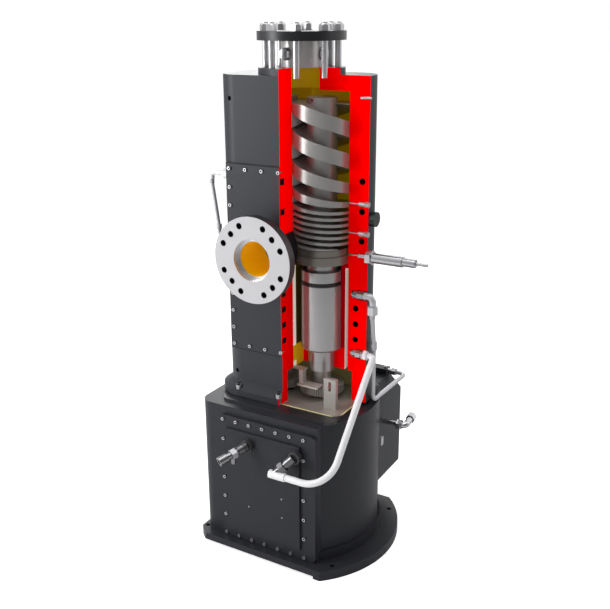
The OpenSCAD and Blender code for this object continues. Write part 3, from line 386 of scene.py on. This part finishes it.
# %% Dress the CAD nodes
finishes = {
    powder_coat: ["base_plate", "base_housing", "control_cover", "drive_box", "drive_box_lid"],
    casing_enamel: ["pump_casing"],
    gear_enamel: ["gear_housing"],
    cover_enamel: ["jacket_cover"],
    carrier_enamel: ["bearing_carrier"],
    blackened_steel: ["inlet_flange"],
    neck_finish: ["discharge_neck"],
    outlet_finish: ["discharge_flange"],
    turned_steel: ["drive_screw", "driven_screw"],
    brushed_aluminium: ["inlet_spool"],
    ground_steel: ["drive_cartridge", "driven_cartridge", "drive_seal_housing",
                   "driven_seal_housing", "bearing_outer_rings", "drive_inner_rings",
                   "driven_inner_rings"],
    milled_steel: ["sensor_bracket"],
    scraped_iron: ["end_plate"],
    hardened_steel: ["oil_guard", "drive_shaft", "driven_shaft", "drive_gear", "driven_gear",
                     "drive_lock_nut", "driven_lock_nut", "motor_rotor"],
    zinc_plate: ["control_cover_screws", "drive_box_screws", "jacket_cover_screws", "foot_bolts",
                 "inlet_studs", "inlet_nuts", "purge_nozzles"],
    chrome_plate: ["temperature_probe", "box_fitting", "rear_fitting", "spool_plugs"],
    elbow_finish: ["upper_elbow"],
    lower_elbow_finish: ["lower_elbow"],
    hose_finish: ["left_hose_fitting", "right_hose_fitting"],
    white_enamel: ["front_coolant_pipe", "left_elbow"],
    drawn_tube: ["rear_tube", "left_tube"],
    joint_face: ["gear_case_gasket"],
    rim_finish: ["gear_case"],
    nitrile_and_recess_shade: ["cartridge_o_rings"],
    knob_finish: ["side_plugs"],
    copper_wire: ["motor_stator"],
}
for mat, names in finishes.items():
    for name in names:
        nodes[name].data.materials.clear()
        nodes[name].data.materials.append(mat)
left = sorted(set(nodes) - {n for names in finishes.values() for n in names})
print("nodes without a finish:", left)

# %% [markdown]
# The screws are the heart of the pump. Each has two lands wound round a core, and the spacing of
# the lands shrinks from the inlet to the discharge, which is how the gas is compressed. A land is
# easy to draw while it is still unrolled: a long bar whose X is the angle of turn, whose Y is the
# radius and whose Z is the height. A geometry tree then rolls the bar up round the axis. The rule
# for the height is the same one that the CAD solid follows, only sampled about four times as
# finely.

# %% The rule of the thread
tip_r, root_r, flank_gap = bore_r - 0.5, 2 * rotor_x - bore_r, 0.7
pitch_in, pitch_out, turn_a, turn_b = 77.8, 15.75, 170.0, 760.0
screw_low, screw_top = 850.0, 1208.0
z_phase = screw_top - 40


def fall(turn):
    mid, swing = (pitch_in + pitch_out) / 2, (pitch_in - pitch_out) / 2
    if turn < turn_a:
        return pitch_in * turn / 180
    if turn < turn_b:
        span = turn_b - turn_a
        wave = math.sin(math.pi * (turn - turn_a) / span) * span / math.pi
        return (pitch_in * turn_a + mid * (turn - turn_a) + swing * wave) / 180
    return (pitch_in * turn_a + mid * (turn_b - turn_a) + pitch_out * (turn - turn_b)) / 180


# Each pair is a radius and how far the flank is undercut there, in degrees of turn.
flank = [(root_r - 1.5, 11.3), (45.0, 11.3), (52.0, 11.3), (58.0, 9.9), (64.0, 7.9), (70.0, 4.6),
         (tip_r - 0.6, 0.7), (tip_r, 0.6)]


turns = np.arange(-180.0, 1780.0, 4.0)
turn_zero = 5
land_width = 90
end_nick = 0.3


def unrolled_land():
    ring = len(flank) * 2
    points = []
    for turn in turns:
        row = []
        for radius, under in flank:
            top = z_phase - fall(turn + under) - flank_gap / 2
            height = max(screw_low + end_nick, min(screw_top, top))
            row.append((math.radians(turn - turn_zero), radius, height))
        for radius, under in reversed(flank):
            bottom = z_phase - fall(turn + land_width - under) + flank_gap / 2
            height = max(screw_low, min(screw_top - end_nick, bottom))
            row.append((math.radians(turn - turn_zero), radius, height))
        points += row
    faces = []
    for k in range(len(turns) - 1):
        for j in range(ring):
            a, b = k * ring + j, k * ring + (j + 1) % ring
            faces.append((a, a + ring, b + ring, b))
    faces.append(tuple(range(ring)))
    faces.append(tuple(reversed(range((len(turns) - 1) * ring, len(turns) * ring))))
    mesh = bpy.data.meshes.new("unrolled_land")
    mesh.from_pydata([(x, y / 1000, z / 1000) for x, y, z in points], [], faces)
    return mesh


land_mesh = unrolled_land()
print("unrolled land:", len(land_mesh.vertices), "vertices")

# %% [markdown]
# Two helpers serve every geometry tree of this lesson. The first opens a tree and gives it named
# inputs, numbers first and then finishes. The second closes it: instances become real geometry,
# because an export drops them, and the finish is set last.

# %% Open and close a geometry tree
def new_tree(name, numbers, skins=("Finish",)):
    tree = bpy.data.node_groups.new(name, "GeometryNodeTree")
    tree.interface.new_socket(name="Geometry", in_out="INPUT", socket_type="NodeSocketGeometry")
    for label, value in numbers.items():
        item = tree.interface.new_socket(name=label, in_out="INPUT", socket_type="NodeSocketFloat")
        item.default_value = value
    for label in skins:
        tree.interface.new_socket(name=label, in_out="INPUT", socket_type="NodeSocketMaterial")
    tree.interface.new_socket(name="Geometry", in_out="OUTPUT", socket_type="NodeSocketGeometry")
    return tree


def finish_tree(tree, geometry, inputs, where=None):
    real = add(tree, "GeometryNodeRealizeInstances", None, {"Geometry": geometry})
    painted = add(tree, "GeometryNodeSetMaterial", None,
                  {"Geometry": real.outputs[0], "Material": inputs.outputs["Finish"]})
    if where is not None:
        tree.links.new(where, painted.inputs["Selection"])
    out = add(tree, "NodeGroupOutput")
    tree.links.new(painted.outputs[0], out.inputs[0])


print("helpers ready: new_tree and finish_tree")

# %% [markdown]
# The tree takes the bar's X as an angle and its Y as a radius and sets each point to
# (Y cos X, Y sin X, Z). A second copy, turned by half a turn, is the other start of the thread,
# and a cylinder is the core. The hand of the screw is an input: -1 mirrors the angle.

# %% A tree that rolls the land up
screw_tree = new_tree("screw_from_land",
                      {"Hand": 1.0, "Core Radius": root_r / 1000, "Hub Radius": 0.038})
given = add(screw_tree, "NodeGroupInput")
place = add(screw_tree, "GeometryNodeInputPosition")
parts = add(screw_tree, "ShaderNodeSeparateXYZ", None, {"Vector": place.outputs[0]})
angle = add(screw_tree, "ShaderNodeMath", {"operation": "MULTIPLY"},
            {0: parts.outputs["X"], 1: given.outputs["Hand"]})
cosine = add(screw_tree, "ShaderNodeMath", {"operation": "COSINE"}, {0: angle.outputs[0]})
sine = add(screw_tree, "ShaderNodeMath", {"operation": "SINE"}, {0: angle.outputs[0]})
across = add(screw_tree, "ShaderNodeMath", {"operation": "MULTIPLY"},
             {0: cosine.outputs[0], 1: parts.outputs["Y"]})
along = add(screw_tree, "ShaderNodeMath", {"operation": "MULTIPLY"},
            {0: sine.outputs[0], 1: parts.outputs["Y"]})
rolled = add(screw_tree, "ShaderNodeCombineXYZ", None,
             {"X": across.outputs[0], "Y": along.outputs[0], "Z": parts.outputs["Z"]})
first = add(screw_tree, "GeometryNodeSetPosition", None,
            {"Geometry": given.outputs["Geometry"], "Position": rolled.outputs[0]})
second = add(screw_tree, "GeometryNodeTransform", {"Rotation": (0, 0, math.pi)},
             {"Geometry": first.outputs[0]})
core = add(screw_tree, "GeometryNodeMeshCylinder",
           {"Vertices": 96, "Depth": (screw_top - screw_low) / 1000},
           {"Radius": given.outputs["Core Radius"]})
core_up = add(screw_tree, "GeometryNodeTransform",
              {"Translation": (0, 0, (screw_top + screw_low) / 2000)},
              {"Geometry": core.outputs["Mesh"]})
print("screw tree so far:", len(screw_tree.nodes), "nodes")

# %% [markdown]
# The hub on top has a small hole in its side for a pin spanner, which holds the screw while its nut
# is tightened. A boolean cuts it, because one hole in one cylinder is quicker to cut than to model.

# %% The hub and its spanner hole
hub_height, hub_middle = 18, screw_top + 5
hole_r, hole_depth, hole_place = 3.5, 12, (-7.6, -37.2, screw_top + 8)
hub = add(screw_tree, "GeometryNodeMeshCylinder", {"Vertices": 96, "Depth": hub_height / 1000},
          {"Radius": given.outputs["Hub Radius"]})
hub_up = add(screw_tree, "GeometryNodeTransform", {"Translation": (0, 0, hub_middle / 1000)},
             {"Geometry": hub.outputs["Mesh"]})
drill = add(screw_tree, "GeometryNodeMeshCylinder",
            {"Vertices": 24, "Radius": hole_r / 1000, "Depth": hole_depth / 1000})
drill_up = add(screw_tree, "GeometryNodeTransform",
               {"Translation": tuple(v / 1000 for v in hole_place),
                "Rotation": (math.pi / 2, 0, -0.2)},
               {"Geometry": drill.outputs["Mesh"]})
drilled = add(screw_tree, "GeometryNodeMeshBoolean", {"operation": "DIFFERENCE"},
              {0: hub_up.outputs[0], 1: drill_up.outputs[0]})
joined = add(screw_tree, "GeometryNodeJoinGeometry")
for made in (drilled, core_up, second, first):
    screw_tree.links.new(made.outputs[0], joined.inputs[0])
# Edges that turn by less than half a radian are shaded smooth, the lands' corners stay crisp.
edges = add(screw_tree, "GeometryNodeInputMeshEdgeAngle")
soft = add(screw_tree, "FunctionNodeCompare",
           {"data_type": "FLOAT", "operation": "LESS_THAN", 1: 0.5},
           {0: edges.outputs["Unsigned Angle"]})
smooth_edges = add(screw_tree, "GeometryNodeSetShadeSmooth", {"domain": "EDGE"},
                   {"Geometry": joined.outputs[0], "Shade Smooth": soft.outputs[0]})
smooth_faces = add(screw_tree, "GeometryNodeSetShadeSmooth", {"domain": "FACE"},
                   {"Geometry": smooth_edges.outputs[0]})
finish_tree(screw_tree, smooth_faces.outputs[0], given)
print("screw tree:", len(screw_tree.nodes), "nodes")

# %% [markdown]
# A modifier runs the tree. Its inputs are set by each socket's identifier before the object is
# evaluated for the first time, then the evaluated result is copied into a plain mesh and the
# modifier goes away. The place of a piece is baked into its mesh, so its object stays at the
# origin, as a CAD node's does.

# %% Run a tree and keep a plain mesh
def grown(name, mesh, tree, body, move=Matrix.Identity(4), **values):
    seed_object = bpy.data.objects.new(name + "_seed", mesh)
    bpy.context.scene.collection.objects.link(seed_object)
    modifier = seed_object.modifiers.new("tree", "NODES")
    modifier.node_group = tree
    for item in tree.interface.items_tree:
        if item.in_out == "INPUT" and item.name in values:
            modifier[item.identifier] = values[item.name]
    graph = bpy.context.evaluated_depsgraph_get()
    plain = bpy.data.meshes.new_from_object(seed_object.evaluated_get(graph))
    bpy.data.objects.remove(seed_object)
    plain.transform(move)
    if move.determinant() < 0:
        plain.flip_normals()
    piece = bpy.data.objects.new(name, plain)
    bpy.context.scene.collection.objects.link(piece)
    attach(piece, body)
    print(name, len(plain.polygons), "faces")
    return piece


# %% [markdown]
# The two screws are mirror images. The driven one is the same bar rolled up, mirrored across its
# own axis and turned a quarter turn, so that its lands run in the grooves of the first.

# %% The pair of screws
drive = grown("drive_screw_wound", land_mesh, screw_tree, "drive_rotor",
              Matrix.Translation((rotor_x / 1000, 0, 0)), Hand=1.0, Finish=turned_steel)
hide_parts("drive_screw")
other_hand = (Matrix.Translation((-rotor_x / 1000, 0, 0)) @ Matrix.Rotation(math.pi / 2, 4, "Z")
              @ Matrix.Diagonal((-1, 1, 1, 1)))
driven = grown("driven_screw_wound", land_mesh, screw_tree, "driven_rotor", other_hand,
               Hand=1.0, Finish=turned_steel)
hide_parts("driven_screw")

# %% [markdown]
# The covers are held by small socket-head screws. One tree makes the head, sinks the hexagon with
# a boolean and puts a copy on every point of a seed mesh, with a random turn about its own axis,
# because nobody tightens fifty screws to the same angle. The recess is painted near black with the
# rubber finish, as painted shade inside the hexagon, and the last node paints only what lies
# outside it. The seed's points are the hole centres, and Tip tells the tree how to lay the screws
# down: a quarter turn for the covers in front, nothing for the lid.

# %% A tree that sets socket screws
cap_tree = new_tree("socket_screws_on_points",
                    {"Head Radius": 0.0045, "Head Height": 0.004, "Socket Radius": 0.0026,
                     "Shank Radius": 0.0025, "Shank Length": 0.012, "Tip": math.pi / 2},
                    ("Finish", "Recess"))
given = add(cap_tree, "NodeGroupInput")
head = add(cap_tree, "GeometryNodeMeshCylinder", {"Vertices": 24},
           {"Radius": given.outputs["Head Radius"], "Depth": given.outputs["Head Height"]})
half = add(cap_tree, "ShaderNodeMath", {"operation": "MULTIPLY", 1: 0.5},
           {0: given.outputs["Head Height"]})
lift = add(cap_tree, "ShaderNodeCombineXYZ", None, {"Z": half.outputs[0]})
head_up = add(cap_tree, "GeometryNodeTransform", None,
              {"Geometry": head.outputs["Mesh"], "Translation": lift.outputs[0]})
hollow = add(cap_tree, "GeometryNodeMeshCylinder", {"Vertices": 6},
             {"Radius": given.outputs["Socket Radius"], "Depth": given.outputs["Head Height"]})
raise_by = add(cap_tree, "ShaderNodeCombineXYZ", None, {"Z": given.outputs["Head Height"]})
hollow_up = add(cap_tree, "GeometryNodeTransform", None,
                {"Geometry": hollow.outputs["Mesh"], "Translation": raise_by.outputs[0]})
# The hexagon gets the near-black rubber finish as painted shade.
dark_hollow = add(cap_tree, "GeometryNodeSetMaterial", None,
                  {"Geometry": hollow_up.outputs[0], "Material": given.outputs["Recess"]})
sunk = add(cap_tree, "GeometryNodeMeshBoolean", {"operation": "DIFFERENCE"},
           {0: head_up.outputs[0], 1: dark_hollow.outputs[0]})
shank = add(cap_tree, "GeometryNodeMeshCylinder", {"Vertices": 12},
            {"Radius": given.outputs["Shank Radius"], "Depth": given.outputs["Shank Length"]})
down = add(cap_tree, "ShaderNodeMath", {"operation": "MULTIPLY", 1: -0.5},
           {0: given.outputs["Shank Length"]})
drop = add(cap_tree, "ShaderNodeCombineXYZ", None, {"Z": down.outputs[0]})
shank_down = add(cap_tree, "GeometryNodeTransform", None,
                 {"Geometry": shank.outputs["Mesh"], "Translation": drop.outputs[0]})
one_screw = add(cap_tree, "GeometryNodeJoinGeometry")
for made in (shank_down, sunk):
    cap_tree.links.new(made.outputs[0], one_screw.inputs[0])
print("screw setting tree so far:", len(cap_tree.nodes), "nodes")

# %% [markdown]
# The finished screw is set on every point of the seed. Its random turn comes first, about its own
# axis, and the tip after it, so no head leaves its seat whatever the turn.

# %% A copy on each point, turned at random
spin = add(cap_tree, "FunctionNodeRandomValue", {"data_type": "FLOAT", "Seed": 7})
whole_turn = [s for s in spin.inputs if s.name == "Max" and s.type == "VALUE"][0]
whole_turn.default_value = 2 * math.pi
turn = add(cap_tree, "ShaderNodeCombineXYZ", None, {"Z": spin.outputs[1]})
tip = add(cap_tree, "ShaderNodeCombineXYZ", None, {"X": given.outputs["Tip"]})
set_down = add(cap_tree, "FunctionNodeRotateEuler", {"rotation_type": "EULER", "space": "LOCAL"},
               {"Rotation": tip.outputs[0], "Rotate By": turn.outputs[0]})
spread_out = add(cap_tree, "GeometryNodeInstanceOnPoints", None,
                 {"Points": given.outputs["Geometry"], "Instance": one_screw.outputs[0],
                  "Rotation": set_down.outputs[0]})
in_recess = add(cap_tree, "GeometryNodeMaterialSelection", None,
                {"Material": given.outputs["Recess"]})
elsewhere = add(cap_tree, "FunctionNodeBooleanMath", {"operation": "NOT"},
                {0: in_recess.outputs[0]})
finish_tree(cap_tree, spread_out.outputs[0], given, elsewhere.outputs[0])
print("screw setting tree:", len(cap_tree.nodes), "nodes")

# %% [markdown]
# The control cover has a ring of screws at an even spacing, the jacket cover two rows and a column
# down its left edge, the box lid one row, and the foot flange five larger bolts. Each list holds
# the points where a head rests on its seat. On the two covers a point is the first hole plus a
# number of steps to the right and up.

# %% Screws of the covers, the lid and the foot
def seed_points(name, places):
    mesh = bpy.data.meshes.new(name)
    mesh.from_pydata([(x / 1000, y / 1000, z / 1000) for x, y, z in places], [], [])
    return mesh


def in_grid(first, step, column, row):
    x, seat, z = first
    return x + step[0] * column, seat, z + step[1] * row


panel_first, panel_step, panel_ends = (-136, -197, 37), (42, 58.17), (0, 6)
panel_places = [in_grid(panel_first, panel_step, i, j) for i in range(7) for j in range(7)
                if i in panel_ends or j in panel_ends]
jacket_first, jacket_step, jacket_ends = (-149, -112, 573), (49, 47.3), (0, 10)
jacket_places = [in_grid(jacket_first, jacket_step, i, j) for j in range(11) for i in range(4)
                 if j in jacket_ends or i == 0]
lid_row_y, lid_top = 228, 438
lid_places = [(x, lid_row_y, lid_top) for x in (-140, -84, -28, 28, 84, 140)]
front_bolts_y, rear_bolts_y, foot_seat = -122, 110, 446
foot_places = [(x, front_bolts_y, foot_seat) for x in (-133, -5)]
foot_places += [(x, rear_bolts_y, foot_seat) for x in (-100, 0, 100)]
bolt_sizes = {"Head Radius": 0.0088, "Head Height": 0.0119, "Socket Radius": 0.0055,
              "Shank Radius": 0.0058, "Shank Length": 0.022}
for label, places, node, tip_angle, sizes in (
        ("panel_screws_set", panel_places, "control_cover_screws", math.pi / 2, {}),
        ("jacket_screws_set", jacket_places, "jacket_cover_screws", math.pi / 2, {}),
        ("lid_screws_set", lid_places, "drive_box_screws", 0.0, {}),
        ("foot_screws_set", foot_places, "foot_bolts", 0.0, bolt_sizes)):
    screws = grown(label, seed_points(label + "_seed", places), cap_tree, "pump",
                   Tip=tip_angle, Finish=zinc_plate, Recess=nitrile_and_recess_shade, **sizes)
    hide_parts(node)

# %% [markdown]
# Two small things on the base are still missing. Three tiny screws hold the raised pad of the
# control cover, and a welded lug on the side of the drum carries an earth strap. The same tree sets
# the screws with smaller sizes; the lug is a bar with its edges bevelled, since a sharp edge never
# catches the light the way a real one does.

# %% Pad screws and the lug
pad_places = [(50.5, -203, 198), (-55, -203, 144), (51, -203, 142)]
pad_sizes = {"Head Radius": 0.0022, "Head Height": 0.0012, "Socket Radius": 0.0011,
             "Shank Radius": 0.0012, "Shank Length": 0.004}
grown("pad_screws_set", seed_points("pad_screws_seed", pad_places), cap_tree, "pump",
      Tip=math.pi / 2, Finish=zinc_plate, Recess=nitrile_and_recess_shade, **pad_sizes)


def bar(name, low_corner, high_corner, bevel, mat, body):
    work = bmesh.new()
    bmesh.ops.create_cube(work, size=1.0)
    for vert in work.verts:
        vert.co = Vector([(a + b) / 2000 + c * (b - a) / 1000
                          for a, b, c in zip(low_corner, high_corner, vert.co)])
    bmesh.ops.bevel(work, geom=list(work.edges), offset=bevel / 1000, segments=3, profile=0.5,
                    affect="EDGES")
    mesh = bpy.data.meshes.new(name)
    work.to_mesh(mesh)
    work.free()
    mesh.materials.append(mat)
    piece = bpy.data.objects.new(name, mesh)
    bpy.context.scene.collection.objects.link(piece)
    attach(piece, body)
    print(name, len(mesh.polygons), "faces")


bar("earth_lug", (178, 94, 258), (197, 108, 284), 1.5, drawn_tube, "pump")

# %% [markdown]
# The light is a plain studio: a white floor and backdrop, one broad soft box from the front left,
# weaker ones from the right, from behind and from overhead. Polished metal shows whatever
# surrounds it, so the world seen in reflections is not one even white: its brightness depends on
# the compass heading, bright behind and to the left, dim where the camera stands. That gives every
# cylinder its upright bright and dark bands.

# %% The world
scene = bpy.context.scene
scene.view_settings.view_transform = "Standard"
world = bpy.data.worlds.new("studio")
scene.world = world
world.use_nodes = True
sky = world.node_tree
sky.nodes.clear()
path = add(sky, "ShaderNodeLightPath")
direction = add(sky, "ShaderNodeTexCoord")
heading = add(sky, "ShaderNodeSeparateXYZ", None, {"Vector": direction.outputs["Generated"]})
front = add(sky, "ShaderNodeMath", {"operation": "MULTIPLY", 1: -1.0}, {0: heading.outputs["Y"]})
compass = add(sky, "ShaderNodeMath", {"operation": "ARCTAN2"},
              {0: heading.outputs["X"], 1: front.outputs[0]})
shift = add(sky, "ShaderNodeMapRange", {"From Min": -math.pi, "From Max": math.pi},
            {"Value": compass.outputs[0]})
bands = add(sky, "ShaderNodeValToRGB", None, {"Fac": shift.outputs["Result"]})
ramp = bands.color_ramp
for end in (0, 1):
    ramp.elements[end].position, ramp.elements[end].color = end, (0.9, 0.9, 0.9, 1)
for degrees, level in ((-100, 0.5), (-65, 1.0), (-45, 0.85), (-20, 0.3), (-5, 0.45), (25, 0.15),
                       (70, 0.1), (100, 0.35), (125, 1.0)):
    stop = ramp.elements.new(0.5 + degrees / 360)
    stop.color = (level, level, level, 1)
plain = add(sky, "ShaderNodeBackground", {"Color": (0.96, 0.96, 0.97, 1), "Strength": 0.42})
mirrored = add(sky, "ShaderNodeBackground", {"Strength": 1.6}, {"Color": bands.outputs["Color"]})
white = add(sky, "ShaderNodeBackground", {"Color": (1, 1, 1, 1), "Strength": 1.0})
glossy = add(sky, "ShaderNodeMixShader", None,
             {0: path.outputs["Is Glossy Ray"], 1: plain.outputs[0], 2: mirrored.outputs[0]})
seen = add(sky, "ShaderNodeMixShader", None,
           {0: path.outputs["Is Camera Ray"], 1: glossy.outputs[0], 2: white.outputs[0]})
add(sky, "ShaderNodeOutputWorld", None, {"Surface": seen.outputs[0]})
print("reflected bands:", len(ramp.elements), "stops")

# %% [markdown]
# A large lamp gives a soft shadow and a broad highlight, so each one here is a rectangle one or two
# metres wide, given by where it hangs, where it points, its size in metres and its watts.

# %% The lamps
def soft_box(name, spot, aim, size, power):
    lamp = bpy.data.lights.new(name, "AREA")
    lamp.shape = "RECTANGLE"
    lamp.size, lamp.size_y = size
    lamp.energy = power
    holder = bpy.data.objects.new(name, lamp)
    holder.location = spot
    holder.rotation_euler = (Vector(aim) - Vector(spot)).to_track_quat("-Z", "Y").to_euler()
    scene.collection.objects.link(holder)


soft_box("front_left_box", (-2.45, -2.3, 1.4), (0, 0, 0.5), (1.0, 2.2), 86)
soft_box("right_box", (2.7, 0.9, 1.8), (0, 0, 0.8), (0.8, 2.0), 4)
soft_box("rear_box", (-1.9, 2.6, 2.3), (0, 0, 0.7), (1.2, 1.8), 26)
soft_box("overhead_box", (0.2, -0.4, 3.6), (0, 0, 0.7), (2.4, 2.4), 45)

# %% [markdown]
# The floor is one large sheet of white paper. It takes the shadow as any paper does, and a lift
# that only the camera sees brings the open paper up to the white of the backdrop.

# %% The floor
floor_mesh = bpy.data.meshes.new("floor")
floor_mesh.from_pydata([(-30, -30, 0), (30, -30, 0), (30, 30, 0), (-30, 30, 0)], [], [(0, 1, 2, 3)])
floor = bpy.data.objects.new("floor", floor_mesh)
scene.collection.objects.link(floor)
paper = bpy.data.materials.new("studio_paper")
paper.use_nodes = True
tree = paper.node_tree
shader = tree.nodes["Principled BSDF"]
shader.inputs["Base Color"].default_value = (0.9, 0.9, 0.9, 1)
shader.inputs["Roughness"].default_value = 0.9
ray = add(tree, "ShaderNodeLightPath")
lift = add(tree, "ShaderNodeMath", {"operation": "MULTIPLY", 1: 0.62},
           {0: ray.outputs["Is Camera Ray"]})
shader.inputs["Emission Color"].default_value = (1, 1, 1, 1)
tree.links.new(lift.outputs[0], shader.inputs["Emission Strength"])
floor_mesh.materials.append(paper)
print("the floor reaches", floor_mesh.vertices[2].co.x, "m from the pump")

# %% [markdown]
# The camera was fitted to the photograph: both flanges are circles of known size, and their
# outlines, with the long edges of the casing, fix where the lens stood and how it was turned. The
# width and the focal length are both in pixels, so their ratio times the sensor gives the lens.

# %% The camera
picture_width, focal_length = 610, 877.2
lens = bpy.data.cameras.new("camera")
lens.sensor_width = 36.0
lens.lens = focal_length / picture_width * lens.sensor_width
lens.clip_end = 100
camera = bpy.data.objects.new("camera", lens)
pan, tilt, roll = math.radians(30.74), math.radians(90 - 18.52), math.radians(-0.32)
camera.location = (1.147, -1.920, 1.423)
camera.matrix_world = (Matrix.Translation(camera.location) @ Matrix.Rotation(pan, 4, "Z")
                       @ Matrix.Rotation(tilt, 4, "X") @ Matrix.Rotation(roll, 4, "Z"))
scene.collection.objects.link(camera)
scene.camera = camera
print("camera at", [round(v, 3) for v in camera.location], "lens", round(lens.lens, 2), "mm")
